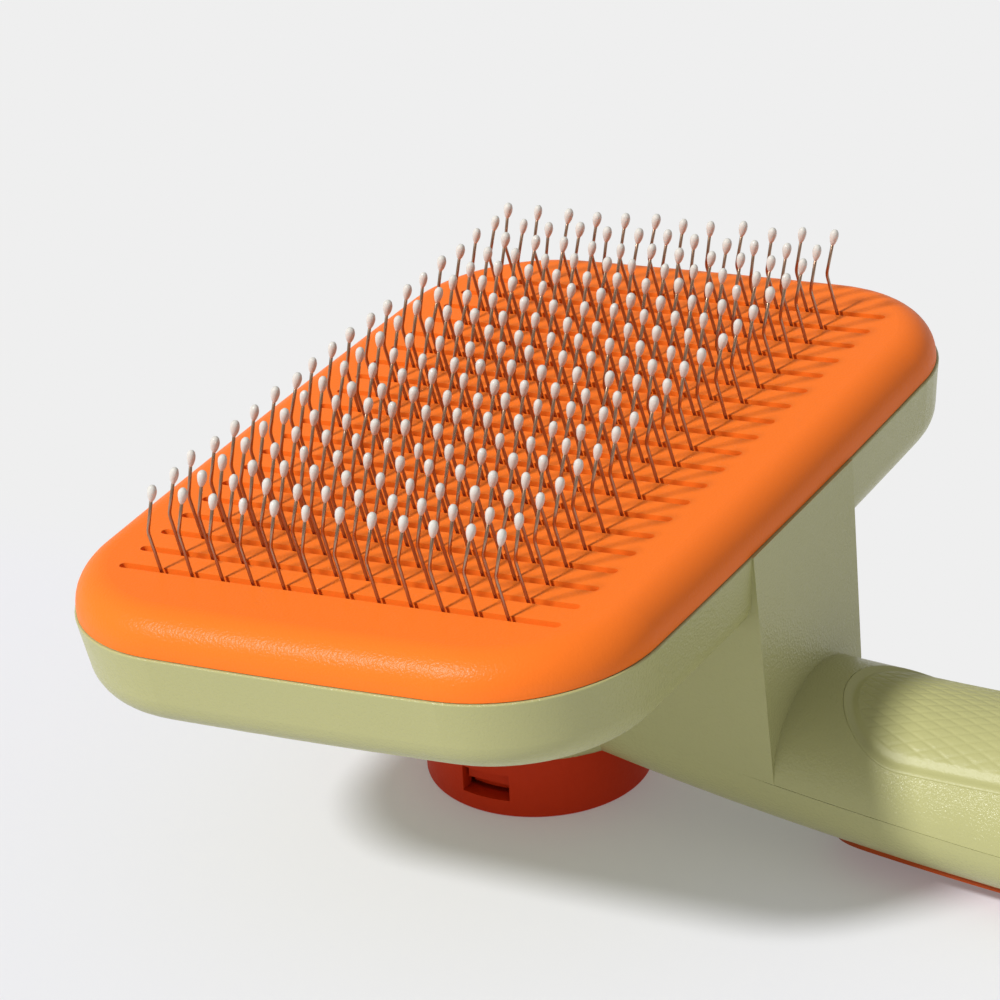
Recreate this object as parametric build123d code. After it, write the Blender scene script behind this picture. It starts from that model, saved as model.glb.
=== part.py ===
from build123d import *
import math
import os

# Slicker brush with a push button that moves the slotted face plate out along the pins.
# Millimetres. The brush lies pins up on a floor at Z = 0, standing on its button and on the
# belly of its handle. X runs towards the handle's tail, and Z is the axis of the button.
# The head is drawn in its own frame (origin in the middle of the face plate's top) and then
# laid down with HEAD, which lifts its handle side by HEAD_TILT.

# ---- head ----
HEAD_TILT = 5.0          # degrees between the face plate and the floor
HEAD_X = -1.3            # middle of the face plate's top, along X
HEAD_Z = 44.4            # middle of the face plate's top above the floor
PLATE_WIDTH = 74.4       # along X, at the middle of the sides
PLATE_LENGTH = 109.2     # along Y, at the middle of the sides
PLATE_CORNER_R = 18.5
PLATE_BOW = 0.9          # how far each side bows out between its corners
PLATE_SIDE = 4.8         # height of the plate's rounded side
PLATE_EDGE_R = 4.3
PLATE_WALL = 1.8

# ---- pins ----
PIN_ROWS = 20            # along Y
PIN_COLUMNS = 12         # along X
ROW_PITCH = 4.5
COLUMN_PITCH = 4.15
WIRE_R = 0.2
WIRE_HOLE_GAP = 0.03
BEND_BACK = 1.35         # the wire's lean away from the handle, at its bend
BEND_HEIGHT = 4.95       # of the bend above the plate
TIP_FORWARD = 0.0        # the tip's lean towards the handle
TIP_HEIGHT = 9.9         # of the drop's middle above the plate
DROP_R = 0.56
DROP_LENGTH = 2.25
DROP_ROOT = 0.4          # how far the wire runs on past the middle of its drop
DROP_GRIP = 0.01         # between a drop and the wire inside it
SLOT_WIDTH = 1.2
SLOT_OVERHANG = 6.1      # how far a slot runs on past its last pins

# ---- pin base ----
BASE_TOP_GAP = 0.6       # under the face plate
BASE_THICKNESS = 2.8
BASE_EDGE_GAP = 1.2      # inside the face plate's skirt
BACKING_THICKNESS = 1.4
BACKING_RIM = 1.5
BACKING_MARGIN = 4.6     # past the outer pins
CROWN_GAP = 0.02
GUIDE_X = 14.0
GUIDE_Y = 47.5
GUIDE_POST_R = 2.2
GUIDE_GAP = 0.08
GUIDE_TUBE_WALL = 1.1
GUIDE_TUBE_LENGTH = 4.6
BASE_SCREW_X = 31.0
BASE_SCREW_Y = 28.0
RIB_LENGTH = 7.0         # of the two ribs that carry the backing
RIB_HALF = 0.8

# ---- tub ----
RIM_GAP = 0.1            # between the face plate and the tub
RIM_PROUD = 0.3          # how far the tub stands out past the plate
TUB_DEPTH = 14.8         # from the plate's top to the tub's underside
TUB_DRAFT = 1.5
TUB_EDGE_R = 4.7
RIM_EDGE_R = 0.2
WALL = 2.0

# ---- neck and handle ----
NECK_X = 37.75           # the neck's outer face level with the plate's top, in the head's frame
NECK_LEAN = 1.2          # how far that face comes in on its way to the foot
NECK_HALF_TOP = 13.6
NECK_HALF_FOOT = 12.5
NECK_FOOT_DEPTH = 33.0   # of the foot below the plate's top
HANDLE_END = 160.0
HANDLE_TOP = 21.7        # above the floor
HANDLE_CROWN = 1.4       # extra height at the palm
HANDLE_HALF = 12.4       # half width at the neck
PALM_HALF = 14.4         # half width at the palm
PALM_X = 118.0
BELLY_X = 80.0           # where the handle's underside is lowest
SPINE_RISE = 8.6         # the underside's rise from the belly to the button's axis
SHELL_DEPTH = 9.7        # of the back shell, from seam to underside
SEAM_GAP = 0.06
TAIL_ROUND = 22.0
TAIL_POWER = 2.3         # 2 is an ellipse, more is blunter

# ---- button and mechanism ----
TRAVEL = 8.0
BUTTON_R = 14.0
BUTTON_WALL = 2.0
BUTTON_EDGE_R = 0.5
BUTTON_HEIGHT = 12.1
BUTTON_GAP = 0.3         # to the hole in the back shell
WINDOW_WIDTH = 6.4
WINDOW_LOW = 2.3
WINDOW_HEIGHT = 3.5
FLANGE_R = 15.7
FLANGE_THICKNESS = 2.4
FLANGE_GAP = 0.3
REST_GAP = 0.05
HOUSING_UNDER = 9.2      # the housing's underside above the floor
SPRING_ROOF = 28.0       # the spring's upper seat above the floor
SPRING_R = 12.3
SPRING_WIRE_R = 0.45
SPRING_TURNS = 5
LEG_THICKNESS = 2.6
LEG_WIDTH = 15.0
LEG_GAP = 0.2
LATCH_WIDTH = 5.6
LATCH_THICKNESS = 1.5
LATCH_GAP = 0.3
BARB_REACH = 1.1
BARB_HEIGHT = 1.8

# ---- screws ----
SCREW_R = 0.8
SCREW_HEAD_R = 1.7
SCREW_HEAD_H = 1.0
SCREW_GAP = 0.15
THREAD_GAP = 0.01
BOSS_WALL = 1.5
SHELL_SCREW_R = 1.25
SHELL_SCREW_HEAD_R = 2.4
SHELL_SCREW_HEAD_H = 1.6
SHELL_SCREW_COUNT = 3
SHELL_SCREW_FIRST_X = 56.0
SHELL_SCREW_PITCH = 38.0
SHELL_SCREW_REACH = 5.0  # above the seam

# ---- grip and trim ----
GRIP_START = 42.4
GRIP_END = 142.6
GRIP_HALF = 10.6
GRIP_THICKNESS = 1.45
GRIP_SUNK = 0.1          # below the handle's surface
GRIP_GAP = 0.05
TRIM_START = 41.0
TRIM_END = 140.0
TRIM_HALF = 8.6
TRIM_THICKNESS = 1.3
TRIM_PROUD = 0.5
TRIM_GAP = 0.1
TRIM_CLEAR = 0.03        # between the trim and the floor

HEAD = Pos(HEAD_X, 0, HEAD_Z) * Rot(0, -HEAD_TILT, 0)
PLATE_UNDER = -PLATE_WALL
BASE_TOP = PLATE_UNDER - BASE_TOP_GAP
BASE_UNDER = BASE_TOP - BASE_THICKNESS
CROWN_Z = BASE_UNDER - WIRE_R
BACKING_TOP = CROWN_Z - WIRE_R - CROWN_GAP
RIM_Z = -PLATE_SIDE - RIM_GAP
FLOOR_TOP = -TUB_DEPTH + WALL
FIELD_HALF_X = (PIN_COLUMNS - 1) / 2 * COLUMN_PITCH
FIELD_HALF_Y = (PIN_ROWS - 1) / 2 * ROW_PITCH
FLANGE_UNDER = BUTTON_HEIGHT + REST_GAP
FLANGE_TOP = FLANGE_UNDER + FLANGE_THICKNESS
LEDGE_TOP = FLANGE_UNDER - REST_GAP
HOUSING_R = FLANGE_R + FLANGE_GAP + WALL
BUTTON_BORE_R = BUTTON_R + BUTTON_GAP
FLOOR_CLEAR = TRIM_PROUD + TRIM_CLEAR
BIG = 400.0


def row_y(i):
    return (i - (PIN_ROWS - 1) / 2) * ROW_PITCH


def column_x(j):
    return (j - (PIN_COLUMNS - 1) / 2) * COLUMN_PITCH


def bowed_outline(width, length, corner_r, bow):
    """A rectangle with four sides bowed outwards and rounded corners."""
    x = width / 2
    y = length / 2
    a = (x - bow, y - bow)
    b = (-x + bow, y - bow)
    c = (-x + bow, -y + bow)
    d = (x - bow, -y + bow)
    top = ThreePointArc(a, (0, y), b)
    left = ThreePointArc(b, (-x, 0), c)
    low = ThreePointArc(c, (0, -y), d)
    right = ThreePointArc(d, (x, 0), a)
    face = make_face([top, left, low, right])
    return fillet(face.vertices(), corner_r)


def plate_outline(grow):
    """The face plate's outline, moved outwards by grow."""
    return bowed_outline(
        PLATE_WIDTH + 2 * grow, PLATE_LENGTH + 2 * grow, PLATE_CORNER_R + grow, PLATE_BOW
    )


def slab(sketch, low, high):
    """The sketch made solid between two heights."""
    return extrude(Pos(0, 0, low) * sketch, amount=high - low, dir=(0, 0, 1))


def post(x, y, radius, low, high):
    return Pos(x, y, (low + high) / 2) * Cylinder(radius, high - low)


def block(x0, x1, y0, y1, z0, z1):
    middle = Pos((x0 + x1) / 2, (y0 + y1) / 2, (z0 + z1) / 2)
    return middle * Box(x1 - x0, y1 - y0, z1 - z0)


def above_in_head(height):
    """Everything above one height of the head's frame."""
    return HEAD * block(-BIG, BIG, -BIG, BIG, height, BIG)


def head_point(x, y, z):
    """A point of the head's frame in the floor's frame."""
    p = (HEAD * Pos(x, y, z)).position
    return p.X, p.Y, p.Z


# ---------------------------------------------------------------- handle volume


def underside_z(x):
    """The handle's underside: a parabola that is lowest at the belly."""
    return FLOOR_CLEAR + SPINE_RISE * ((x - BELLY_X) / BELLY_X) ** 2


def seam_z(x):
    return underside_z(x) + SHELL_DEPTH


def top_z(x):
    swell = math.sin(math.pi * min(max((x - NECK_X) / (HANDLE_END - NECK_X), 0), 1))
    return HANDLE_TOP + HANDLE_CROWN * swell ** 2


def half_width(x):
    t = min(max((x - NECK_X) / (PALM_X - NECK_X), 0), 1)
    return HANDLE_HALF + (PALM_HALF - HANDLE_HALF) * t * t * (3 - 2 * t)


def tail_factor(x, inset):
    """1 along the handle, falling like a blunt quarter ellipse to 0 at the tail's tip."""
    start = HANDLE_END - TAIL_ROUND
    t = (x - start) / (TAIL_ROUND - inset)
    return max(1 - max(t, 0) ** TAIL_POWER, 0) ** (1 / TAIL_POWER)


def handle_section(x, inset):
    """One cross section: a half ellipse above the seam and another below it."""
    f = tail_factor(x, inset)
    w = (half_width(x) - inset) * f
    up = max(top_z(x) - seam_z(x) - inset, 0.5) * f
    down = (SHELL_DEPTH - inset) * f
    plane = Plane(origin=(x, 0, seam_z(x)), x_dir=(0, 1, 0), z_dir=(1, 0, 0))
    upper = EllipticalCenterArc((0, 0), w, up, start_angle=0, arc_size=180)
    lower = EllipticalCenterArc((0, 0), w, down, start_angle=180, arc_size=180)
    return plane * make_face([upper, lower])


def handle_volume(inset):
    """Handle and spine, both shells together, made smaller all round by inset."""
    first_x = -2.0
    start = HANDLE_END - TAIL_ROUND
    length = TAIL_ROUND - inset
    steps = 12
    stations = [first_x + (start - first_x) * k / steps for k in range(steps)]
    angles = [0, 12, 24, 35, 45, 54, 62, 69, 75, 81]
    stations += [start + length * math.sin(math.radians(a)) for a in angles]
    return loft([handle_section(x, inset) for x in stations])


def below_seam(shift):
    """Everything below the seam surface, which is curved along X and straight along Y."""
    xs = [-40 + 30 * k for k in range(9)]
    curve = Spline([(x, seam_z(x) + shift) for x in xs])
    end_x = xs[-1]
    start = (xs[0], seam_z(xs[0]) + shift)
    end = (end_x, seam_z(end_x) + shift)
    right = Line(end, (end_x, -60))
    low = Line((end_x, -60), (xs[0], -60))
    left = Line((xs[0], -60), start)
    face = Plane.XZ * make_face([curve, right, low, left])
    return extrude(face, amount=100, both=True)


def neck_volume(inset, top):
    """The block between tub and seam, from the button's axis to the neck's outer face."""
    faces = []
    for z in (top, -NECK_FOOT_DEPTH - 8):
        share = -z / NECK_FOOT_DEPTH
        half = NECK_HALF_TOP + (NECK_HALF_FOOT - NECK_HALF_TOP) * share - inset
        outer = NECK_X - NECK_LEAN * share - inset
        inner = -HEAD_X
        faces.append(Pos((outer + inner) / 2, 0, z) * Rectangle(outer - inner, 2 * half))
    return HEAD * loft(faces, ruled=True)


# ---------------------------------------------------------------- green shells


def tub_volume(inset):
    """The tub's outside, or its hollow when inset."""
    top = RIM_Z + (1.0 if inset else 0.0)
    face = plate_outline(RIM_PROUD - inset)
    bottom = -TUB_DEPTH + inset
    draft = math.degrees(math.atan(TUB_DRAFT / (TUB_DEPTH - PLATE_SIDE)))
    body = extrude(Pos(0, 0, top) * face, amount=top - bottom, dir=(0, 0, -1), taper=draft)
    body = fillet(body.edges().group_by(Axis.Z)[0], TUB_EDGE_R - inset)
    if inset:
        return body
    return fillet(body.edges().group_by(Axis.Z)[-1], RIM_EDGE_R)


def cavity_volume():
    """The hollow inside spine, neck, housing and handle."""
    neck = neck_volume(WALL, -TUB_DEPTH - WALL) - below_seam(-0.5)
    hollow = handle_volume(WALL) + neck
    housing = post(0, 0, FLANGE_R + FLANGE_GAP, LEDGE_TOP, SPRING_ROOF)
    return hollow + housing


def leg_slots(gap):
    """The two upright blades that carry the face plate, made larger by gap."""
    x = LEG_WIDTH / 2 + gap
    y0 = ROW_PITCH - LEG_THICKNESS / 2 - gap
    y1 = ROW_PITCH + LEG_THICKNESS / 2 + gap
    near = block(-x, x, -y1, -y0, FLANGE_TOP, HEAD_Z + 5)
    far = block(-x, x, y0, y1, FLANGE_TOP, HEAD_Z + 5)
    return near + far


def shell_screw_xs():
    return [SHELL_SCREW_FIRST_X + k * SHELL_SCREW_PITCH for k in range(SHELL_SCREW_COUNT)]


def oval(start, end, half, grow, low, high):
    """An upright prism with a long oval outline over the handle."""
    shape = SlotOverall(end - start + 2 * grow, 2 * (half + grow))
    return slab(Pos((start + end) / 2, 0) * shape, low, high)


def grip_zone(grow, handle):
    """The part of the handle that lies over the grip's oval."""
    return handle & oval(GRIP_START, GRIP_END, GRIP_HALF, grow, seam_z(BELLY_X) + 2, 60)


def make_body_shell(handle_outer):
    tub = HEAD * tub_volume(0)
    housing = post(0, 0, HOUSING_R, HOUSING_UNDER, HEAD_Z - TUB_DEPTH)
    neck = neck_volume(0, RIM_Z)
    upper_half = handle_outer & block(NECK_X - 8, BIG, -BIG, BIG, -BIG, BIG)
    lower = (upper_half + housing + neck) - below_seam(SEAM_GAP / 2)
    body = tub + lower
    body -= HEAD * tub_volume(WALL)
    body -= cavity_volume()
    floor_low = HEAD_Z - TUB_DEPTH
    for x in (-BASE_SCREW_X, BASE_SCREW_X):
        for y in (-BASE_SCREW_Y, BASE_SCREW_Y):
            boss = post(x, y, SCREW_R + BOSS_WALL, FLOOR_TOP - 0.5, BASE_UNDER)
            body += HEAD * boss
            body -= HEAD * post(x, y, SCREW_R + THREAD_GAP, FLOOR_TOP + 0.3, BASE_UNDER + 1)
    rib_top = BACKING_TOP - BACKING_THICKNESS
    for x0 in (-BASE_SCREW_X, BASE_SCREW_X - RIB_LENGTH):
        rib = block(x0, x0 + RIB_LENGTH, -RIB_HALF, RIB_HALF, FLOOR_TOP - 0.5, rib_top)
        body += HEAD * rib
    body -= leg_slots(LEG_GAP)
    handle_inner = handle_volume(WALL - 0.4)
    for x in shell_screw_xs():
        tube = post(x, 0, SHELL_SCREW_R + BOSS_WALL, seam_z(x) + SEAM_GAP, top_z(x))
        body += tube & handle_inner
        hole_top = seam_z(x) + SHELL_SCREW_REACH + 0.5
        body -= post(x, 0, SHELL_SCREW_R + THREAD_GAP, seam_z(x) - 2, hole_top)
    body -= grip_zone(GRIP_GAP, handle_outer) - handle_volume(GRIP_THICKNESS + GRIP_SUNK)
    return body


def make_grip_pad():
    zone = grip_zone(0, handle_volume(GRIP_SUNK))
    return zone - handle_volume(GRIP_THICKNESS + GRIP_SUNK)


def trim_zone(grow):
    return oval(TRIM_START, TRIM_END, TRIM_HALF, grow, -20, seam_z(BELLY_X) - 3)


def make_back_shell(handle_outer):
    housing = post(0, 0, HOUSING_R, HOUSING_UNDER, HEAD_Z - TUB_DEPTH)
    housing = fillet(housing.edges().group_by(Axis.Z)[0], 3.0)
    shell = (handle_outer + housing) & below_seam(-SEAM_GAP / 2)
    shell -= cavity_volume()
    handle_inner = handle_volume(WALL - 0.4)
    shell -= trim_zone(TRIM_GAP) - handle_volume(TRIM_THICKNESS - TRIM_PROUD)
    for x in shell_screw_xs():
        low = underside_z(x)
        tube = post(x, 0, SHELL_SCREW_HEAD_R + BOSS_WALL, low + 1.0, seam_z(x) - SEAM_GAP)
        shell += tube & handle_inner
        shell -= post(x, 0, SHELL_SCREW_R + SCREW_GAP, low - 5, seam_z(x) + 5)
        shell -= post(x, 0, SHELL_SCREW_HEAD_R + SCREW_GAP, low - 5, low + 4.0)
    shell -= post(0, 0, BUTTON_BORE_R, -5, LEDGE_TOP + 1)
    return shell


def make_back_trim():
    shell = handle_volume(-TRIM_PROUD) & trim_zone(0)
    return shell - handle_volume(TRIM_THICKNESS - TRIM_PROUD)


# ---------------------------------------------------------------- face plate and pins


def make_face_plate():
    plate = slab(plate_outline(0), -PLATE_SIDE, 0)
    plate = fillet(plate.edges().group_by(Axis.Z)[-1], PLATE_EDGE_R)
    pocket = slab(plate_outline(-PLATE_WALL), -PLATE_SIDE - 1, PLATE_UNDER)
    pocket = fillet(pocket.edges().group_by(Axis.Z)[-1], PLATE_EDGE_R - PLATE_WALL)
    plate -= pocket
    slot = SlotOverall(2 * (FIELD_HALF_X + SLOT_OVERHANG), SLOT_WIDTH)
    for i in range(PIN_ROWS):
        plate -= slab(Pos(0, row_y(i)) * slot, -PLATE_SIDE, 1)
    plate = HEAD * plate
    carriers = leg_slots(0)
    for x in (-GUIDE_X, GUIDE_X):
        for y in (-GUIDE_Y, GUIDE_Y):
            foot_x, foot_y, foot_z = head_point(x, y, FLOOR_TOP)
            carriers += post(foot_x, y, GUIDE_POST_R, foot_z + 0.5, foot_z + 30)
    carriers -= above_in_head(-PLATE_WALL / 2)
    for y in (-ROW_PITCH, ROW_PITCH):
        carriers -= post(0, y, SCREW_R + THREAD_GAP, FLANGE_TOP - 1, FLANGE_TOP + 7)
    return plate + carriers


def tip_lean():
    """The last stretch of wire, as its lean from upright in radians."""
    return math.atan2(BEND_BACK + TIP_FORWARD, TIP_HEIGHT - BEND_HEIGHT)


def wire_path(x):
    """One leg of a staple above the crown: straight, leaning back, then forward."""
    end_x = TIP_FORWARD + DROP_ROOT * math.sin(tip_lean())
    end_z = TIP_HEIGHT + DROP_ROOT * math.cos(tip_lean())
    return [
        (x, 0, BASE_TOP + 0.2),
        (x - BEND_BACK, 0, BEND_HEIGHT),
        (x + end_x, 0, end_z),
    ]


def make_staple():
    """A U-shaped wire whose two legs stand in neighbouring columns."""
    x = COLUMN_PITCH / 2
    left = wire_path(-x)
    right = wire_path(x)
    points = left[::-1] + [(-x, 0, CROWN_Z), (x, 0, CROWN_Z)] + right
    path = Polyline(*points)
    section = Plane(origin=path @ 0, z_dir=path % 0) * Circle(WIRE_R)
    return sweep(section, path=path, transition=Transition.RIGHT)


def make_pin_row(i, staple):
    wires = []
    for k in range(PIN_COLUMNS // 2):
        x = (column_x(2 * k) + column_x(2 * k + 1)) / 2
        wires.append(HEAD * Pos(x, row_y(i), 0) * staple)
    return Compound(wires)


def make_drop():
    """An egg-shaped drop on the end of a wire that stands at x = 0, thicker at its top."""
    half = DROP_LENGTH / 2
    side = Spline(
        [(0, half), (DROP_R, half * 0.25), (DROP_R * 0.62, -half * 0.62), (0, -half)],
        tangents=[(1, 0), (-1, 0)],
    )
    face = Plane.XZ * make_face([side, Line((0, -half), (0, half))])
    egg = revolve(face, axis=Axis.Z)
    egg -= post(0, 0, WIRE_R + DROP_GRIP, -DROP_LENGTH, DROP_ROOT + DROP_GRIP)
    return Pos(TIP_FORWARD, 0, TIP_HEIGHT) * Rot(0, math.degrees(tip_lean()), 0) * egg


def make_tip_row(i, drop):
    drops = []
    for j in range(PIN_COLUMNS):
        drops.append(HEAD * Pos(column_x(j), row_y(i), 0) * drop)
    return Compound(drops)


def make_pin_base():
    sketch = plate_outline(-PLATE_WALL - BASE_EDGE_GAP)
    places = [(column_x(j), row_y(i)) for i in range(PIN_ROWS) for j in range(PIN_COLUMNS)]
    sketch -= Sketch() + [Pos(x, y) * Circle(WIRE_R + WIRE_HOLE_GAP) for x, y in places]
    base = slab(sketch, BASE_UNDER, BASE_TOP)
    for x in (-BASE_SCREW_X, BASE_SCREW_X):
        for y in (-BASE_SCREW_Y, BASE_SCREW_Y):
            base -= post(x, y, SCREW_R + SCREW_GAP, BASE_UNDER - 1, BASE_TOP + 1)
            seat = BASE_TOP - SCREW_HEAD_H - 0.1
            base -= post(x, y, SCREW_HEAD_R + SCREW_GAP, seat, BASE_TOP + 1)
    base = HEAD * base
    for x in (-GUIDE_X, GUIDE_X):
        for y in (-GUIDE_Y, GUIDE_Y):
            hub_x, hub_y, hub_z = head_point(x, y, BASE_UNDER)
            foot_x, foot_y, foot_z = head_point(x, y, FLOOR_TOP)
            tube_r = GUIDE_POST_R + GUIDE_GAP + GUIDE_TUBE_WALL
            base += post(foot_x, y, tube_r, hub_z - GUIDE_TUBE_LENGTH, hub_z + 0.5)
            base -= post(foot_x, y, GUIDE_POST_R + GUIDE_GAP, hub_z - 20, hub_z + 20)
    return base - leg_slots(LEG_GAP)


def make_pin_backing():
    x = FIELD_HALF_X + BACKING_MARGIN
    y = FIELD_HALF_Y + BACKING_RIM / 2 + 0.4
    sheet = block(-x, x, -y, y, BACKING_TOP - BACKING_THICKNESS, BASE_UNDER)
    inner_x = x - BACKING_RIM
    inner_y = y - BACKING_RIM / 2
    sheet -= block(-inner_x, inner_x, -inner_y, inner_y, BACKING_TOP, BASE_UNDER + 1)
    sheet = HEAD * sheet
    return sheet - leg_slots(LEG_GAP)


def make_base_screws():
    screws = []
    for x in (-BASE_SCREW_X, BASE_SCREW_X):
        for y in (-BASE_SCREW_Y, BASE_SCREW_Y):
            seat = BASE_TOP - SCREW_HEAD_H - 0.1
            shank = post(x, y, SCREW_R, FLOOR_TOP + 0.8, seat + 0.2)
            head = post(x, y, SCREW_HEAD_R, seat, seat + SCREW_HEAD_H)
            socket = block(x - 1.0, x + 1.0, y - 0.2, y + 0.2, seat + 0.5, seat + 2)
            cross = block(x - 0.2, x + 0.2, y - 1.0, y + 1.0, seat + 0.5, seat + 2)
            screws.append(HEAD * (shank + head - socket - cross))
    return Compound(screws)


# ---------------------------------------------------------------- button and plunger


def make_push_button():
    cup = post(0, 0, BUTTON_R, 0, BUTTON_HEIGHT)
    cup = fillet(cup.edges().group_by(Axis.Z)[0], BUTTON_EDGE_R)
    cup -= post(0, 0, BUTTON_R - BUTTON_WALL, BUTTON_WALL, BUTTON_HEIGHT + 1)
    half = WINDOW_WIDTH / 2
    top = WINDOW_LOW + WINDOW_HEIGHT
    return cup - block(-half, half, -BUTTON_R - 5, BUTTON_R + 5, WINDOW_LOW, top)


def make_plunger():
    plunger = post(0, 0, FLANGE_R, FLANGE_UNDER, FLANGE_TOP)
    half = LATCH_WIDTH / 2
    outer = BUTTON_R - BUTTON_WALL - LATCH_GAP
    inner = outer - LATCH_THICKNESS
    barb_top = WINDOW_LOW + WINDOW_HEIGHT - REST_GAP
    cup_inside = post(0, 0, outer, WINDOW_LOW, FLANGE_TOP)
    for side in (-1, 1):
        low_y, high_y = sorted((side * inner, side * (outer + 1)))
        latch = block(-half, half, low_y, high_y, WINDOW_LOW + 0.4, FLANGE_UNDER + 0.5)
        plunger += latch & cup_inside
        low_y, high_y = sorted((side * (inner + 0.3), side * (outer + BARB_REACH)))
        plunger += block(-half, half, low_y, high_y, barb_top - BARB_HEIGHT, barb_top)
    for y in (-ROW_PITCH, ROW_PITCH):
        plunger -= post(0, y, SCREW_R + SCREW_GAP, FLANGE_UNDER - 1, FLANGE_TOP + 1)
        seat = FLANGE_UNDER + SCREW_HEAD_H
        plunger -= post(0, y, SCREW_HEAD_R + SCREW_GAP, FLANGE_UNDER - 1, seat)
    return plunger


def make_plate_screws():
    screws = []
    for y in (-ROW_PITCH, ROW_PITCH):
        head = post(0, y, SCREW_HEAD_R, FLANGE_UNDER, FLANGE_UNDER + SCREW_HEAD_H)
        shank = post(0, y, SCREW_R, FLANGE_UNDER + 0.5, FLANGE_TOP + 6)
        socket = block(-1.0, 1.0, y - 0.2, y + 0.2, FLANGE_UNDER - 1, FLANGE_UNDER + 0.5)
        cross = block(-0.2, 0.2, y - 1.0, y + 1.0, FLANGE_UNDER - 1, FLANGE_UNDER + 0.5)
        screws.append(head + shank - socket - cross)
    return Compound(screws)


def make_return_spring():
    low = FLANGE_TOP + SPRING_WIRE_R + REST_GAP
    high = SPRING_ROOF - SPRING_WIRE_R - REST_GAP
    height = high - low
    path = Pos(0, 0, low) * Helix(height / SPRING_TURNS, height, SPRING_R)
    section = Plane(origin=path @ 0, z_dir=path % 0) * Circle(SPRING_WIRE_R)
    return sweep(section, path=path)


def make_shell_screws():
    screws = []
    for x in shell_screw_xs():
        low = underside_z(x) + 4.0
        head = post(x, 0, SHELL_SCREW_HEAD_R, low - SHELL_SCREW_HEAD_H, low)
        shank = post(x, 0, SHELL_SCREW_R, low - 0.5, seam_z(x) + SHELL_SCREW_REACH)
        slot_low = low - SHELL_SCREW_HEAD_H - 1
        socket = block(x - 1.5, x + 1.5, -0.3, 0.3, slot_low, slot_low + 1.8)
        cross = block(x - 0.3, x + 0.3, -1.5, 1.5, slot_low, slot_low + 1.8)
        screws.append(head + shank - socket - cross)
    return Compound(screws)


os.makedirs("parts", exist_ok=True)

outer_handle = handle_volume(0)
export_step(make_body_shell(outer_handle), "parts/body_shell.step")
export_step(make_back_shell(outer_handle), "parts/back_shell.step")
export_step(make_grip_pad(), "parts/grip_pad.step")
export_step(make_back_trim(), "parts/back_trim.step")
export_step(make_face_plate(), "parts/face_plate.step")
export_step(make_pin_base(), "parts/pin_base.step")
export_step(make_pin_backing(), "parts/pin_backing.step")
export_step(make_base_screws(), "parts/base_screws.step")
export_step(make_push_button(), "parts/push_button.step")
export_step(make_plunger(), "parts/plunger.step")
export_step(make_plate_screws(), "parts/plate_screws.step")
export_step(make_return_spring(), "parts/return_spring.step")
export_step(make_shell_screws(), "parts/shell_screws.step")

one_staple = make_staple()
one_drop = make_drop()
for n in range(PIN_ROWS):
    export_step(make_pin_row(n, one_staple), f"parts/pin_row_{n + 1:02d}.step")
    export_step(make_tip_row(n, one_drop), f"parts/tip_row_{n + 1:02d}.step")
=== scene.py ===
"""Looks for a slicker brush whose button pushes the slotted face plate out along the pins."""

import math

import bpy
import numpy as np
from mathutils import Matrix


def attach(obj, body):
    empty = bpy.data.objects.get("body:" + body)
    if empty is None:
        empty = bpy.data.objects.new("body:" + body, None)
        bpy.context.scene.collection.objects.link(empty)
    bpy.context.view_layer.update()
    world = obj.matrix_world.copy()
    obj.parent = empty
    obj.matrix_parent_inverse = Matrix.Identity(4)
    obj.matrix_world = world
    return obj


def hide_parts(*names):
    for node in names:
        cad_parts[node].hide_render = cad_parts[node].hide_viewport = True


bl_info = {
    "name": "Slicker brush",
    "version": (1, 0, 0),
    "blender": (4, 5, 0),
    "location": "3D View > Sidebar > Brush",
    "description": "Wires, resin drops, diamond grip, plastics and studio for a slicker brush",
    "category": "Object",
}

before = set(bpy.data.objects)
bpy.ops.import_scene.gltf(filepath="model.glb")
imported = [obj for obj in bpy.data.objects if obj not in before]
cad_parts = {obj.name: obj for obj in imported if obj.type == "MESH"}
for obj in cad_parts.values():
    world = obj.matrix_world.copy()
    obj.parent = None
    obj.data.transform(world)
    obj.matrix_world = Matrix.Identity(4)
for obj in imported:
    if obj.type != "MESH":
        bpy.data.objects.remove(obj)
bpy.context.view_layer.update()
MM = 0.001
BODY = "brush"
STRAY_SEED = 11
DROP_SEED = 23
SENSOR_WIDTH = 36.0      # millimetres


# ------------------------------------------------------------------ settings


def length(label, note, millimetres):
    """A length setting. It is given in millimetres and kept in metres."""
    return bpy.props.FloatProperty(
        name=label, description=note, default=millimetres * MM, unit="LENGTH")


def angle(label, note, degrees):
    """An angle setting. It is given in degrees and kept in radians."""
    return bpy.props.FloatProperty(
        name=label, description=note, default=math.radians(degrees), subtype="ANGLE",
        unit="ROTATION")


def colour(label, note, value):
    """A colour setting, as linear red, green and blue."""
    return bpy.props.FloatVectorProperty(
        name=label, description=note, default=value, size=3, min=0, max=1, subtype="COLOR")


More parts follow.
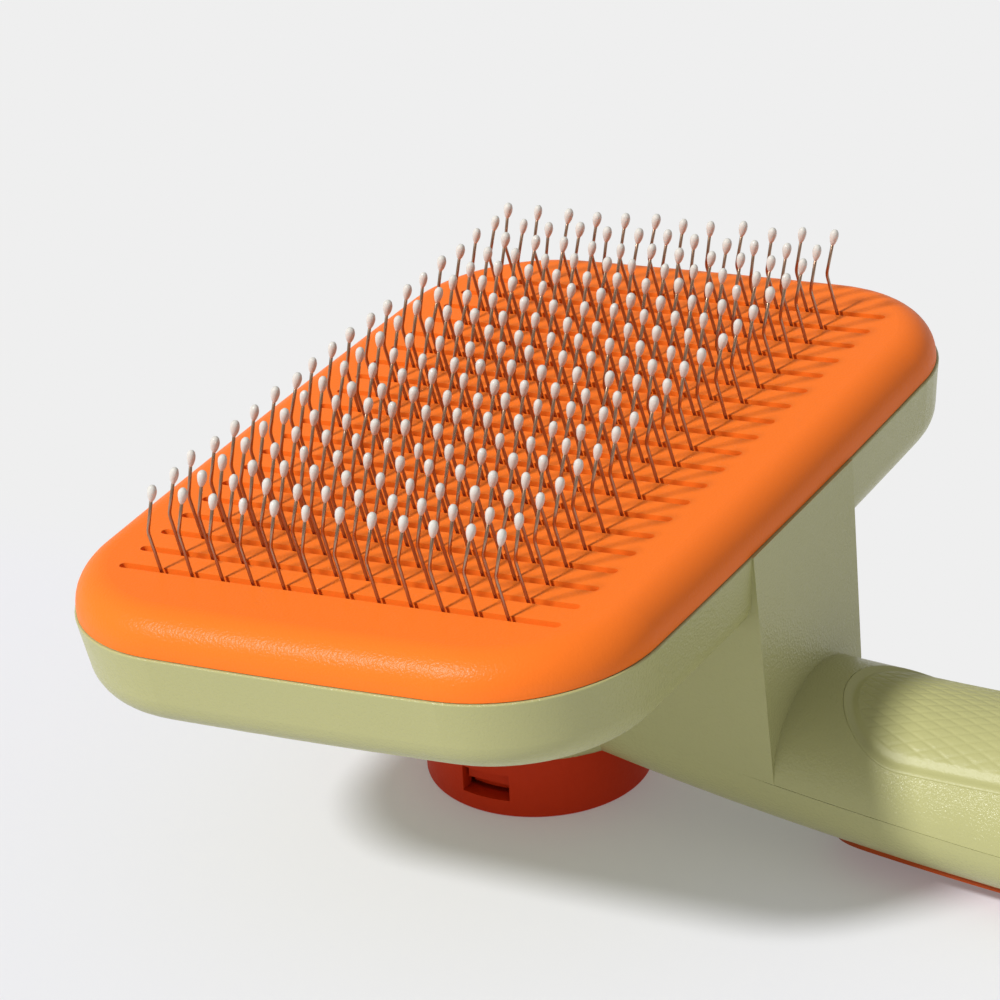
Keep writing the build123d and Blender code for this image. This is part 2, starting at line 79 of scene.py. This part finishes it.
class BrushSizes(bpy.types.PropertyGroup):
    """Sizes of the pins, the drops and the grip. The pins are in the head's own frame."""

    head_tilt: angle("Head tilt", "Angle between face plate and floor", 5.0)
    head_x: length("Head X", "Middle of the face plate's top along X", -1.3)
    head_z: length("Head height", "Middle of the face plate's top above the floor", 44.4)
    rows: bpy.props.IntProperty(name="Rows", description="Rows of pins", default=20)
    columns: bpy.props.IntProperty(name="Columns", description="Pins in a row", default=12)
    row_pitch: length("Row pitch", "From one row of pins to the next", 4.5)
    column_pitch: length("Column pitch", "From one pin in a row to the next", 4.15)
    wire_radius: length("Wire radius", "Radius of the pin wire", 0.2)
    wire_bend: length("Wire bend", "How far from a corner of a wire its bend starts", 0.5)
    crown_depth: length("Crown depth", "Middle of a staple's crown under the plate's top", 5.4)
    foot_depth: length("Foot depth", "Where a wire starts to lean, under the plate's top", 2.2)
    bend_back: length("Bend back", "Lean of the bend away from the handle", 1.35)
    bend_height: length("Bend height", "Bend above the plate's top", 4.95)
    tip_height: length("Tip height", "Drop's middle above the plate's top", 9.9)
    wander: length("Wander", "How far the tips stray from a perfect grid", 0.17)
    drop_radius: length("Drop radius", "Largest radius of a resin drop", 0.56)
    drop_length: length("Drop length", "Length of a resin drop along its wire", 2.25)
    grip_start: length("Grip start", "Head end of the grip along X", 42.4)
    grip_end: length("Grip end", "Tail end of the grip along X", 142.6)
    grip_half: length("Grip half width", "Half width of the grip", 10.6)
    grip_thickness: length("Grip thickness", "Handle's surface to the grip's underside", 1.5)
    lip_width: length("Lip width", "Width of the rolled lip round the grip", 1.1)
    lip_depth: length("Lip depth", "Depth of the furrow inside the lip", 0.5)
    pad_depth: length("Pad depth", "Top of the diamonds under the handle's surface", 0.34)
    pad_roll: length("Pad roll", "Width over which the pad rises from the furrow", 0.8)
    diamond_pitch: length("Diamond pitch", "Between neighbouring grooves of the grip", 1.3)
    diamond_angle: angle("Diamond angle", "Angle between a groove and the handle's length", 21.0)
    groove_depth: length("Groove depth", "Depth of the grip's grooves", 0.085)
    groove_width: length("Groove width", "Half width of the grip's grooves", 0.14)


class BrushHandle(bpy.types.PropertyGroup):
    """Shape of the handle that the grip lies on, as the CAD has it."""

    neck_x: length("Neck X", "Where the handle leaves the neck along X", 37.75)
    end_x: length("End X", "Tip of the tail along X", 160.0)
    top: length("Top", "Top of the handle above the floor, at its ends", 21.7)
    crown: length("Crown", "How far the top swells in its middle", 1.4)
    neck_half: length("Neck half width", "Half width of the handle at the neck", 12.4)
    palm_half: length("Palm half width", "Half width of the handle under the palm", 14.4)
    palm_x: length("Palm X", "Where the handle is widest along X", 118.0)
    belly_x: length("Belly X", "Where the underside is lowest along X", 80.0)
    floor_gap: length("Floor gap", "Lowest point of the underside above the floor", 0.53)
    spine_rise: length("Spine rise", "How far the underside rises towards its ends", 8.6)
    shell_depth: length("Shell depth", "From the underside up to the seam", 9.7)
    tail_round: length("Tail round", "Length over which the tail rounds off", 22.0)
    tail_power: bpy.props.FloatProperty(
        name="Tail power", description="2 is an ellipse, more is blunter", default=2.3)


class BrushColours(bpy.types.PropertyGroup):
    """Colours of the plastics, the resin and the metal."""

    green: colour("Green", "Body and handle", (0.43, 0.42, 0.185))
    orange: colour("Orange", "Face plate", (0.94, 0.188, 0.018))
    deep_orange: colour("Deep orange", "Button", (0.60, 0.036, 0.006))
    trim: colour("Trim", "Strip under the handle", (0.36, 0.055, 0.008))
    inner: colour("Inner", "Hidden mouldings", (0.62, 0.60, 0.55))
    # Steel is partly the metal's own brown tint and partly painted shade: it is darker than bare
    # steel to stand in for darker surroundings in its reflection.
    steel: colour("Steel", "Wires, spring and screws", (0.42, 0.27, 0.18))
    resin: colour("Resin", "Drops on the wires", (0.67, 0.645, 0.59))
    floor: colour("Floor", "Studio floor", (0.65, 0.652, 0.685))


class BrushStudio(bpy.types.PropertyGroup):
    """Camera and light."""

    camera_place: bpy.props.FloatVectorProperty(
        name="Camera place", description="Where the camera stands", size=3,
        default=(0.23612, -0.41694, 0.28484), subtype="TRANSLATION", unit="LENGTH")
    camera_turn: bpy.props.FloatVectorProperty(
        name="Camera turn", description="How the camera is turned", size=3, subtype="EULER",
        default=tuple(math.radians(a) for a in (62.559, 2.532, 28.616)), unit="ROTATION")
    lens: bpy.props.FloatProperty(
        name="Lens", description="Focal length on a 36 mm sensor", default=162.0, unit="CAMERA")
    key_azimuth: angle("Key azimuth", "Way the key light travels, from +Y towards +X", 33.8)
    key_height: angle("Key height", "Height of the key light above the floor", 42.8)
    key_strength: bpy.props.FloatProperty(
        name="Key strength", description="Strength of the key light", default=3.2)
    key_size: angle("Key size", "Angle that the key light fills", 8.0)
    sky_strength: bpy.props.FloatProperty(
        name="Sky strength", description="Strength of the light from all round", default=0.38)
    # Painted light: the floor gives off light though it is no lamp. floor_lift lifts the shadows
    # on it everywhere, and the glow behind the brush paints the brush's shadow out there.
    floor_lift: bpy.props.FloatProperty(
        name="Floor lift", description="Light that the floor gives off everywhere", default=0.16)
    shadow_hiding_glow: bpy.props.FloatProperty(
        name="Sweep glow", description="Light that the sweep behind the brush gives off",
        default=0.863)
    shadow_hiding_start: length("Sweep start", "Where the sweep starts to glow, along Y", 8.0)
    shadow_hiding_end: length("Sweep end", "Where the sweep glows fully, along Y", 36.0)
    floor_reach: length("Floor reach", "From the middle of the floor to its sides", 3000.0)


def sizes():
    return bpy.context.scene.brush_sizes


def colours():
    return bpy.context.scene.brush_colours


# ------------------------------------------------------------------ mesh helpers


def to_floor(points):
    """Head frame to floor frame: turn about Y by minus the head's tilt, then move."""
    s = sizes()
    c, n = math.cos(s.head_tilt), math.sin(s.head_tilt)
    x, y, z = points[..., 0], points[..., 1], points[..., 2]
    return np.stack([x * c - z * n + s.head_x, y, x * n + z * c + s.head_z], -1)


def sheet_faces(rows, columns, wrap):
    """Four corner indices for each cell of a grid of points, closed across columns if wrap."""
    i = np.arange(rows - 1)[:, None]
    j = np.arange(columns if wrap else columns - 1)[None, :]
    k = (j + 1) % columns
    a = i * columns + j
    b = i * columns + k
    return np.stack([a, b, b + columns, a + columns], -1).reshape(-1, 4)


def build(name, points, quads, triangles=None):
    """A smooth mesh object from an array of points and arrays of corner indices."""
    mesh = bpy.data.meshes.new(name)
    quads = np.asarray(quads, np.int32).reshape(-1, 4)
    corners = quads.ravel()
    totals = np.full(len(quads), 4, np.int32)
    if triangles is not None:
        triangles = np.asarray(triangles, np.int32).reshape(-1, 3)
        corners = np.concatenate([corners, triangles.ravel()])
        totals = np.concatenate([totals, np.full(len(triangles), 3, np.int32)])
    points = np.asarray(points, np.float32).reshape(-1, 3)
    mesh.vertices.add(len(points))
    mesh.vertices.foreach_set("co", points.ravel())
    mesh.loops.add(len(corners))
    mesh.loops.foreach_set("vertex_index", corners.astype(np.int32))
    mesh.polygons.add(len(totals))
    starts = np.concatenate([[0], np.cumsum(totals)[:-1]]).astype(np.int32)
    mesh.polygons.foreach_set("loop_start", starts)
    mesh.polygons.foreach_set("use_smooth", np.ones(len(totals), bool))
    mesh.update(calc_edges=True)
    if mesh.validate():
        raise RuntimeError(f"{name}: the mesh had faces that Blender had to mend")
    made = bpy.data.objects.new(name, mesh)
    bpy.context.scene.collection.objects.link(made)
    return made


def many(count, faces, size):
    """The same corner indices for count copies that follow each other, size points apart."""
    return (np.arange(count)[:, None, None] * size + faces[None]).reshape(-1, faces.shape[1])


def rings_round(ahead, sides):
    """Unit circles square to the directions ahead, the first point nearest to Y: the cosine
    times one direction plus the sine times the one that is square to Y."""
    across = np.cross(ahead, np.array([0.0, 1.0, 0.0]))
    across /= np.linalg.norm(across, axis=-1, keepdims=True)
    up = np.cross(across, ahead)
    turn = np.linspace(0, 2 * np.pi, sides, endpoint=False)
    return (np.cos(turn)[:, None] * up[..., None, :]
            + np.sin(turn)[:, None] * across[..., None, :])


def closed_tubes(name, points):
    """One object of tubes with flat caps, from points as tubes x rings x sides x 3 in the
    head's frame."""
    count, rings, sides = points.shape[:3]
    size = rings * sides
    quads = many(count, sheet_faces(rings, sides, True), size)
    first = np.stack([np.zeros(sides - 2, int), np.arange(2, sides), np.arange(1, sides - 1)], -1)
    last = first[:, ::-1] + (rings - 1) * sides
    caps = many(count, np.concatenate([first, last]), size)
    return build(name, to_floor(points), quads, caps)


def finish_piece(made, material, slot, *nodes):
    """Gives a piece its material, puts it under its body and hides the CAD nodes that it stands
    for. The slot is not used.
    """
    made.data.materials.append(material)
    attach(made, BODY)
    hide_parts(*nodes)


# ------------------------------------------------------------------ materials


def add_node(tree, kind, **values):
    node = tree.nodes.new(kind)
    for key, value in values.items():
        setattr(node, key, value)
    return node


def moulded_skin_group():
    """Shader group for moulded plastic. Fine noise bends two normals, one for the plastic
    and one for its coat. Slow noise shifts the tone and, by as much, the roughness."""
    name = "Moulded skin"
    found = bpy.data.node_groups.get(name)
    if found:
        return found
    group = bpy.data.node_groups.new(name, "ShaderNodeTree")
    for label, kind, value in (
        ("Colour", "NodeSocketColor", (0.5, 0.5, 0.5, 1)),
        ("Grain Scale", "NodeSocketFloat", 2600.0),
        ("Grain Depth", "NodeSocketFloat", 0.00002),
        ("Sparkle Depth", "NodeSocketFloat", 0.0001),
        ("Roughness", "NodeSocketFloat", 0.4),
        ("Tone Change", "NodeSocketFloat", 0.05),
    ):
        made = group.interface.new_socket(name=label, in_out="INPUT", socket_type=kind)
        made.default_value = value
    for label, kind in (
        ("Colour", "NodeSocketColor"),
        ("Roughness", "NodeSocketFloat"),
        ("Normal", "NodeSocketVector"),
        ("Sparkle Normal", "NodeSocketVector"),
    ):
        group.interface.new_socket(name=label, in_out="OUTPUT", socket_type=kind)
    link = group.links.new
    given = add_node(group, "NodeGroupInput")
    out = add_node(group, "NodeGroupOutput")
    place = add_node(group, "ShaderNodeTexCoord")
    fine = add_node(group, "ShaderNodeTexNoise")
    fine.inputs["Detail"].default_value = 2.0
    link(place.outputs["Object"], fine.inputs["Vector"])
    link(given.outputs["Grain Scale"], fine.inputs["Scale"])
    for depth, normal in (("Grain Depth", "Normal"), ("Sparkle Depth", "Sparkle Normal")):
        bump = add_node(group, "ShaderNodeBump")
        bump.inputs["Strength"].default_value = 1.0
        link(given.outputs[depth], bump.inputs["Distance"])
        link(fine.outputs["Fac"], bump.inputs["Height"])
        link(bump.outputs["Normal"], out.inputs[normal])
    slow = add_node(group, "ShaderNodeTexNoise")
    slow.inputs["Scale"].default_value = 45.0
    slow.inputs["Detail"].default_value = 3.0
    link(place.outputs["Object"], slow.inputs["Vector"])
    centred = add_node(group, "ShaderNodeMath", operation="SUBTRACT")
    centred.inputs[1].default_value = 0.5
    link(slow.outputs["Fac"], centred.inputs[0])
    scaled = add_node(group, "ShaderNodeMath", operation="MULTIPLY")
    link(centred.outputs[0], scaled.inputs[0])
    link(given.outputs["Tone Change"], scaled.inputs[1])
    lifted = add_node(group, "ShaderNodeMath", operation="ADD")
    lifted.inputs[1].default_value = 1.0
    link(scaled.outputs[0], lifted.inputs[0])
    tone = add_node(group, "ShaderNodeVectorMath", operation="SCALE")
    link(given.outputs["Colour"], tone.inputs[0])
    link(lifted.outputs[0], tone.inputs["Scale"])
    link(tone.outputs[0], out.inputs["Colour"])
    rough = add_node(group, "ShaderNodeMath", operation="ADD")
    link(given.outputs["Roughness"], rough.inputs[0])
    link(scaled.outputs[0], rough.inputs[1])
    link(rough.outputs[0], out.inputs["Roughness"])
    return group


def moulded(name, tint, roughness, grain_scale, grain_depth, sparkle=0.0, tone=0.05, **sockets):
    """A Principled material that takes colour, roughness and normals from the moulded skin.
    The sparkle bends only the coat, so it glitters in highlights and leaves the shade smooth."""
    material = bpy.data.materials.new(name)
    material.use_nodes = True
    tree = material.node_tree
    surface = tree.nodes["Principled BSDF"]
    skin = add_node(tree, "ShaderNodeGroup", node_tree=moulded_skin_group())
    skin.inputs["Colour"].default_value = (*tint, 1)
    skin.inputs["Grain Scale"].default_value = grain_scale
    skin.inputs["Grain Depth"].default_value = grain_depth
    skin.inputs["Sparkle Depth"].default_value = sparkle
    skin.inputs["Roughness"].default_value = roughness
    skin.inputs["Tone Change"].default_value = tone
    tree.links.new(skin.outputs["Colour"], surface.inputs["Base Color"])
    tree.links.new(skin.outputs["Roughness"], surface.inputs["Roughness"])
    tree.links.new(skin.outputs["Normal"], surface.inputs["Normal"])
    tree.links.new(skin.outputs["Sparkle Normal"], surface.inputs["Coat Normal"])
    for key, value in sockets.items():
        surface.inputs[key.replace("_", " ")].default_value = value
    material.diffuse_color = (*tint, 1)
    return material


def glowing_floor(name, tint):
    """A matte floor with painted light: it gives off a little light everywhere, which lifts the
    shadows on it. Behind the brush the share of given-off light rises to 1 by a smooth step along
    Y, which paints out the brush's shadow there."""
    studio = bpy.context.scene.brush_studio
    material = bpy.data.materials.new(name)
    material.use_nodes = True
    tree = material.node_tree
    surface = tree.nodes["Principled BSDF"]
    place = add_node(tree, "ShaderNodeTexCoord")
    parts = add_node(tree, "ShaderNodeSeparateXYZ")
    tree.links.new(place.outputs["Object"], parts.inputs[0])
    share = add_node(tree, "ShaderNodeMapRange", interpolation_type="SMOOTHSTEP")
    share.inputs["From Min"].default_value = studio.shadow_hiding_start
    share.inputs["From Max"].default_value = studio.shadow_hiding_end
    tree.links.new(parts.outputs["Y"], share.inputs["Value"])
    glow = add_node(tree, "ShaderNodeMapRange")
    glow.inputs["To Min"].default_value = studio.floor_lift
    glow.inputs["To Max"].default_value = studio.shadow_hiding_glow
    tree.links.new(share.outputs["Result"], glow.inputs["Value"])
    tree.links.new(glow.outputs["Result"], surface.inputs["Emission Strength"])
    surface.inputs["Emission Color"].default_value = (1, 1, 1, 1)
    mix = add_node(tree, "ShaderNodeMix", data_type="RGBA")
    mix.inputs["A"].default_value = (*tint, 1)
    mix.inputs["B"].default_value = (0, 0, 0, 1)
    tree.links.new(share.outputs["Result"], mix.inputs["Factor"])
    tree.links.new(mix.outputs["Result"], surface.inputs["Base Color"])
    surface.inputs["Roughness"].default_value = 0.9
    surface.inputs["Specular IOR Level"].default_value = 0.0
    return material


FINISHES = {
    "Green plastic": dict(
        tint="green", roughness=0.45, grain_scale=3000.0, grain_depth=0.02 * MM,
        sparkle=0.22 * MM, Specular_IOR_Level=0.03, Coat_Weight=0.7, Coat_Roughness=0.24),
    "Green grip": dict(
        tint="green", roughness=0.45, grain_scale=3200.0, grain_depth=0.01 * MM,
        sparkle=0.04 * MM, Specular_IOR_Level=0.06, Coat_Weight=0.32, Coat_Roughness=0.36),
    "Orange plastic": dict(
        tint="orange", roughness=0.5, grain_scale=3000.0, grain_depth=0.03 * MM,
        sparkle=0.08 * MM, Specular_IOR_Level=0.02, Coat_Weight=0.26, Coat_Roughness=0.3),
    "Deep orange plastic": dict(
        tint="deep_orange", roughness=0.5, grain_scale=3000.0, grain_depth=0.02 * MM,
        sparkle=0.06 * MM, Specular_IOR_Level=0.02, Coat_Weight=0.2, Coat_Roughness=0.3),
    "Trim plastic": dict(
        tint="trim", roughness=0.5, grain_scale=3000.0, grain_depth=0.02 * MM,
        sparkle=0.06 * MM, Specular_IOR_Level=0.02, Coat_Weight=0.2, Coat_Roughness=0.3),
    "Inner plastic": dict(
        tint="inner", roughness=0.55, grain_scale=1800.0, grain_depth=0.02 * MM),
    "Pin wire": dict(
        tint="steel", roughness=0.28, grain_scale=9000.0, grain_depth=0.002 * MM, tone=0.1,
        Metallic=1.0),
    "Zinc steel": dict(
        tint="steel", roughness=0.35, grain_scale=5000.0, grain_depth=0.004 * MM, tone=0.1,
        Metallic=1.0),
    "Resin drop": dict(
        tint="resin", roughness=0.4, grain_scale=1500.0, grain_depth=0.06 * MM,
        sparkle=0.03 * MM, tone=0.06, Specular_IOR_Level=0.2, Coat_Weight=0.3),
}


def finish(name):
    """The material of that name, made the first time it is asked for."""
    made = bpy.data.materials.get(name)
    if made:
        return made
    values = dict(FINISHES[name])
    tint = getattr(colours(), values.pop("tint"))
    return moulded(name, tint, **values)


# ------------------------------------------------------------------ pins


def pin_points():
    """Foot, bend and drop centre of every pin in the head's frame, as rows x columns x 3.
    Tips stray a little from the grid, with a fixed seed, and bends follow them in part."""
    s = sizes()
    bend_share, rise_share = 0.4, 0.8
    y = (np.arange(s.rows) - (s.rows - 1) / 2) * s.row_pitch
    x = (np.arange(s.columns) - (s.columns - 1) / 2) * s.column_pitch
    shape = (s.rows, s.columns)
    gx = np.broadcast_to(x[None, :], shape)
    gy = np.broadcast_to(y[:, None], shape)
    rng = np.random.default_rng(STRAY_SEED)
    stray = rng.normal(0.0, s.wander, (3,) + shape).clip(-2 * s.wander, 2 * s.wander)
    foot = np.stack([gx, gy, np.full(shape, -s.foot_depth)], -1)
    bend_x = gx - s.bend_back + bend_share * stray[0]
    bend = np.stack([bend_x, gy, s.bend_height + stray[2]], -1)
    tip_z = s.tip_height + rise_share * stray[2]
    tip = np.stack([gx + stray[0], gy + stray[1], tip_z], -1)
    return foot, bend, tip


def rounded(points, reach, steps):
    """A path through points (paths x corners x 3) whose inner corners are replaced by
    parabolas that start and end at reach from the corner."""
    parts = [points[:, :1]]
    t = np.linspace(0, 1, steps)[None, :, None]
    for k in range(1, points.shape[1] - 1):
        a, b, c = points[:, k - 1], points[:, k], points[:, k + 1]
        into = (a - b) / np.linalg.norm(a - b, axis=-1, keepdims=True)
        away = (c - b) / np.linalg.norm(c - b, axis=-1, keepdims=True)
        start = (b + into * reach)[:, None]
        end = (b + away * reach)[:, None]
        parts.append((1 - t) ** 2 * start + 2 * t * (1 - t) * b[:, None] + t ** 2 * end)
    parts.append(points[:, -1:])
    return np.concatenate(parts, 1)


def tubes(name, paths, radius, sides):
    """Round tubes along paths: each ring is the path's point plus radius times a unit circle
    square to the path. Flat caps close the ends."""
    step = np.gradient(paths, axis=1)
    ahead = step / np.linalg.norm(step, axis=-1, keepdims=True)
    return closed_tubes(name, paths[..., None, :] + radius * rings_round(ahead, sides))


def row_number(row):
    return f"{row + 1:02d}"


class BRUSH_OT_wires(bpy.types.Operator):
    """Bends the steel staples, two pins each, one object for each row"""

    bl_idname = "brush.wires"
    bl_label = "Pin wires"

    def execute(self, context):
        s = sizes()
        bend_steps, sides = 4, 6
        foot, bend, tip = pin_points()
        crown = foot.copy()
        crown[..., 2] = -s.crown_depth
        for row in range(s.rows):
            legs = np.stack([tip[row], bend[row], foot[row], crown[row]], 1)
            left, right = legs[0::2], legs[1::2, ::-1]
            corners = np.concatenate([left, right], 1)
            paths = rounded(corners, s.wire_bend, bend_steps)
            number = row_number(row)
            made = tubes(f"pin_wires_{number}", paths, s.wire_radius, sides)
            finish_piece(made, finish("Pin wire"), "pin_wire", f"pin_row_{number}")
        return {"FINISHED"}


def drop_profile(rings):
    """Places along a drop from -1 to 1, and its radius at each as a share of its largest.
    It is an ellipse, a little blunted, times a straight line that widens it towards its tip."""
    foot_angle, tip_angle = 0.12, np.pi - 0.05
    blunt, widening, widest = 0.9, 0.28, 1.035
    t = np.linspace(foot_angle, tip_angle, rings)
    along = -np.cos(t)
    return along, np.sin(t) ** blunt * (1 + widening * along) / widest


class BRUSH_OT_drops(bpy.types.Operator):
    """Puts the resin drops on the ends of the wires, one object for each row.
    A drop is an ellipse turned about its wire, wider above its middle and narrow at its foot"""

    bl_idname = "brush.drops"
    bl_label = "Resin drops"

    def execute(self, context):
        s = sizes()
        rings, sides = 9, 10
        spread, thinnest, fattest = 0.05, 0.9, 1.08
        _, bend, tip = pin_points()
        along, share = drop_profile(rings)
        rng = np.random.default_rng(DROP_SEED)
        swell = rng.normal(1.0, spread, (s.rows, s.columns)).clip(thinnest, fattest)
        for row in range(s.rows):
            ahead = tip[row] - bend[row]
            ahead /= np.linalg.norm(ahead, axis=-1, keepdims=True)
            up_wire = along[None, :, None] * ahead[:, None] * s.drop_length / 2
            middle = tip[row][:, None] + up_wire
            girth = s.drop_radius * share[None, :] * swell[row][:, None]
            ring = rings_round(ahead, sides)[:, None]
            number = row_number(row)
            made = closed_tubes(
                f"resin_drops_{number}", middle[:, :, None] + girth[..., None, None] * ring)
            finish_piece(made, finish("Resin drop"), "tip_resin", f"tip_row_{number}")
        return {"FINISHED"}


# ------------------------------------------------------------------ grip


def ease(value):
    """A smooth step from 0 to 1: three times the square less twice the cube, clipped."""
    t = np.clip(value, 0, 1)
    return t * t * (3 - 2 * t)


def handle_top(x, y):
    """Height of the handle's upper surface: a half ellipse across, standing on a seam that is
    a parabola along the handle. Its width and height fall off together at the tail."""
    h = bpy.context.scene.brush_handle
    underside = h.floor_gap + h.spine_rise * ((x - h.belly_x) / h.belly_x) ** 2
    seam = underside + h.shell_depth
    share = np.clip((x - h.neck_x) / (h.end_x - h.neck_x), 0, 1)
    top = h.top + h.crown * np.sin(np.pi * share) ** 2
    widening = ease((x - h.neck_x) / (h.palm_x - h.neck_x))
    half = h.neck_half + (h.palm_half - h.neck_half) * widening
    tail = np.clip((x - h.end_x + h.tail_round) / h.tail_round, 0, 1)
    factor = (1 - tail ** h.tail_power) ** (1 / h.tail_power)
    dome = np.sqrt(np.clip(1 - (y / (half * factor)) ** 2, 0, 1))
    return seam + (top - seam) * factor * dome


def grip_depth(x, y, inward):
    """Depth of the grip under the handle's surface. A rolled lip falls to a furrow, then the
    pad rises again. Two families of slanting lines are pressed in as bell curves."""
    s = sizes()
    slant_x, slant_y = x * math.sin(s.diamond_angle), y * math.cos(s.diamond_angle)
    a = (slant_x + slant_y) / s.diamond_pitch
    b = (slant_x - slant_y) / s.diamond_pitch
    to_line = np.minimum(np.abs(a - np.round(a)), np.abs(b - np.round(b))) * s.diamond_pitch
    groove = s.groove_depth * np.exp(-(to_line / s.groove_width) ** 2)
    past_lip = inward - s.lip_width
    rise = (s.lip_depth - s.pad_depth) * ease(past_lip / s.pad_roll)
    pressed = groove * ease(past_lip / s.pad_roll - 0.5)
    return s.lip_depth * ease(inward / s.lip_width) - rise + pressed


def grip_points(stations, fine, ratio):
    """Points of the grip's top, stations x fine x 3, and of its underside, which has only
    each ratio-th column. Stations crowd together at the rounded ends, columns at the sides."""
    s = sizes()
    from_end, end_crowding, side_crowding = 0.0006, 0.7, 0.25
    u = np.linspace(from_end, 1 - from_end, stations)
    u = u - end_crowding * np.sin(2 * np.pi * u) / (2 * np.pi)
    x = s.grip_start + (s.grip_end - s.grip_start) * u
    v = np.linspace(-1, 1, fine)
    v = (1 - side_crowding) * v + side_crowding * np.sin(v * np.pi / 2)
    past = np.clip(s.grip_half - np.minimum(x - s.grip_start, s.grip_end - x), 0, None)
    width = np.sqrt(s.grip_half ** 2 - past ** 2)
    gx = np.broadcast_to(x[:, None], (stations, fine))
    gy = width[:, None] * v[None, :]
    surface = handle_top(gx, gy)
    inward = s.grip_half - np.hypot(gy, past[:, None])
    top = np.stack([gx, gy, surface - grip_depth(gx, gy, inward)], -1)
    low = np.stack([gx, gy, surface - s.grip_thickness], -1)[:, ::ratio]
    return top, low


def grip_faces(stations, fine, coarse):
    """Corner indices that close the top and the underside into one skin: quads for both
    sheets and the long sides, and triangles where ratio fine columns meet a coarse one."""
    ratio = (fine - 1) // (coarse - 1)
    size = stations * fine
    upper = sheet_faces(stations, fine, False)[:, ::-1]
    lower = sheet_faces(stations, coarse, False) + size
    i = np.arange(stations - 1)
    t, b = i * fine, size + i * coarse
    near = np.stack([b, b + coarse, t + fine, t], -1)
    far = np.stack([b + coarse, b, t, t + fine], -1)
    far = far + np.array([coarse - 1, coarse - 1, fine - 1, fine - 1])
    j, q = np.arange(fine - 1), np.arange(coarse - 1)
    fan = np.stack([size + j // ratio, j, j + 1], -1)
    fill = np.stack([size + q + 1, size + q, (q + 1) * ratio], -1)
    head = np.concatenate([fan, fill])
    shift = np.where(head >= size, (stations - 1) * coarse, (stations - 1) * fine)
    tail = (head + shift)[:, ::-1]
    return np.concatenate([upper, lower, near, far]), np.concatenate([head, tail])


class BRUSH_OT_grip(bpy.types.Operator):
    """Lays the diamond grip into the handle's top.
    Its outline is a long oval. Its top is the handle's surface less the grip's depth, and its
    underside is the handle's surface less the grip's thickness"""

    bl_idname = "brush.grip"
    bl_label = "Diamond grip"

    def execute(self, context):
        stations, ratio, coarse = 400, 10, 17
        fine = (coarse - 1) * ratio + 1
        top, low = grip_points(stations, fine, ratio)
        points = np.concatenate([top.reshape(-1, 3), low.reshape(-1, 3)])
        made = build("diamond_grip", points, *grip_faces(stations, fine, coarse))
        finish_piece(made, finish("Green grip"), "grip_green", "grip_pad")
        return {"FINISHED"}


# ------------------------------------------------------------------ finishes and stage


NODE_FINISHES = {
    "body_shell": "Green plastic",
    "back_shell": "Green plastic",
    "face_plate": "Orange plastic",
    "pin_base": "Orange plastic",
    "push_button": "Deep orange plastic",
    "back_trim": "Trim plastic",
    "pin_backing": "Inner plastic",
    "plunger": "Deep orange plastic",
    "base_screws": "Zinc steel",
    "plate_screws": "Zinc steel",
    "shell_screws": "Zinc steel",
    "return_spring": "Zinc steel",
}


class BRUSH_OT_finishes(bpy.types.Operator):
    """Gives each moulding, spring and screw its plastic or metal"""

    bl_idname = "brush.finishes"
    bl_label = "Finishes"

    def execute(self, context):
        for node, name in NODE_FINISHES.items():
            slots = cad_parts[node].data.materials
            slots.clear()
            slots.append(finish(name))
        return {"FINISHED"}


class BRUSH_OT_stage(bpy.types.Operator):
    """Sets up the floor, the camera, the key light and the even light all round"""

    bl_idname = "brush.stage"
    bl_label = "Stage"

    def execute(self, context):
        scene = bpy.context.scene
        studio = scene.brush_studio
        corner = np.array([[-1, -1, 0], [1, -1, 0], [1, 1, 0], [-1, 1, 0]], float)
        floor = build("floor", corner * studio.floor_reach, [[0, 1, 2, 3]])
        floor.data.materials.append(glowing_floor("Studio floor", colours().floor))
        lens = bpy.data.cameras.new("camera")
        lens.sensor_width = SENSOR_WIDTH
        lens.lens = studio.lens
        lens.clip_start = 0.01
        camera = bpy.data.objects.new("camera", lens)
        camera.location = studio.camera_place
        camera.rotation_euler = studio.camera_turn
        scene.collection.objects.link(camera)
        scene.camera = camera
        lamp = bpy.data.lights.new("key", "SUN")
        lamp.energy = studio.key_strength
        lamp.angle = studio.key_size
        key = bpy.data.objects.new("key", lamp)
        key.rotation_euler = (math.pi / 2 - studio.key_height, 0, -studio.key_azimuth)
        scene.collection.objects.link(key)
        world = bpy.data.worlds.new("studio")
        world.use_nodes = True
        sky = world.node_tree.nodes["Background"]
        sky.inputs["Color"].default_value = (1, 1, 1, 1)
        sky.inputs["Strength"].default_value = studio.sky_strength
        scene.world = world
        scene.view_settings.view_transform = "Standard"
        return {"FINISHED"}


class BRUSH_PT_panel(bpy.types.Panel):
    """Lists the steps that dress the brush"""

    bl_idname = "BRUSH_PT_panel"
    bl_label = "Slicker brush"
    bl_space_type = "VIEW_3D"
    bl_region_type = "UI"
    bl_category = "Brush"

    def draw(self, context):
        for step in STEPS:
            self.layout.operator(step.bl_idname)


STEPS = (
    BRUSH_OT_finishes, BRUSH_OT_wires, BRUSH_OT_drops, BRUSH_OT_grip, BRUSH_OT_stage,
)
GROUPS = (
    ("brush_sizes", BrushSizes), ("brush_handle", BrushHandle),
    ("brush_colours", BrushColours), ("brush_studio", BrushStudio),
)


def register():
    for name, group in GROUPS:
        bpy.utils.register_class(group)
        setattr(bpy.types.Scene, name, bpy.props.PointerProperty(type=group))
    for step in STEPS:
        bpy.utils.register_class(step)
    bpy.utils.register_class(BRUSH_PT_panel)


def unregister():
    bpy.utils.unregister_class(BRUSH_PT_panel)
    for step in reversed(STEPS):
        bpy.utils.unregister_class(step)
    for name, group in reversed(GROUPS):
        delattr(bpy.types.Scene, name)
        bpy.utils.unregister_class(group)


def main():
    register()
    bpy.ops.brush.finishes()
    bpy.ops.brush.wires()
    bpy.ops.brush.drops()
    bpy.ops.brush.grip()
    bpy.ops.brush.stage()


if __name__ == "__main__":
    main()
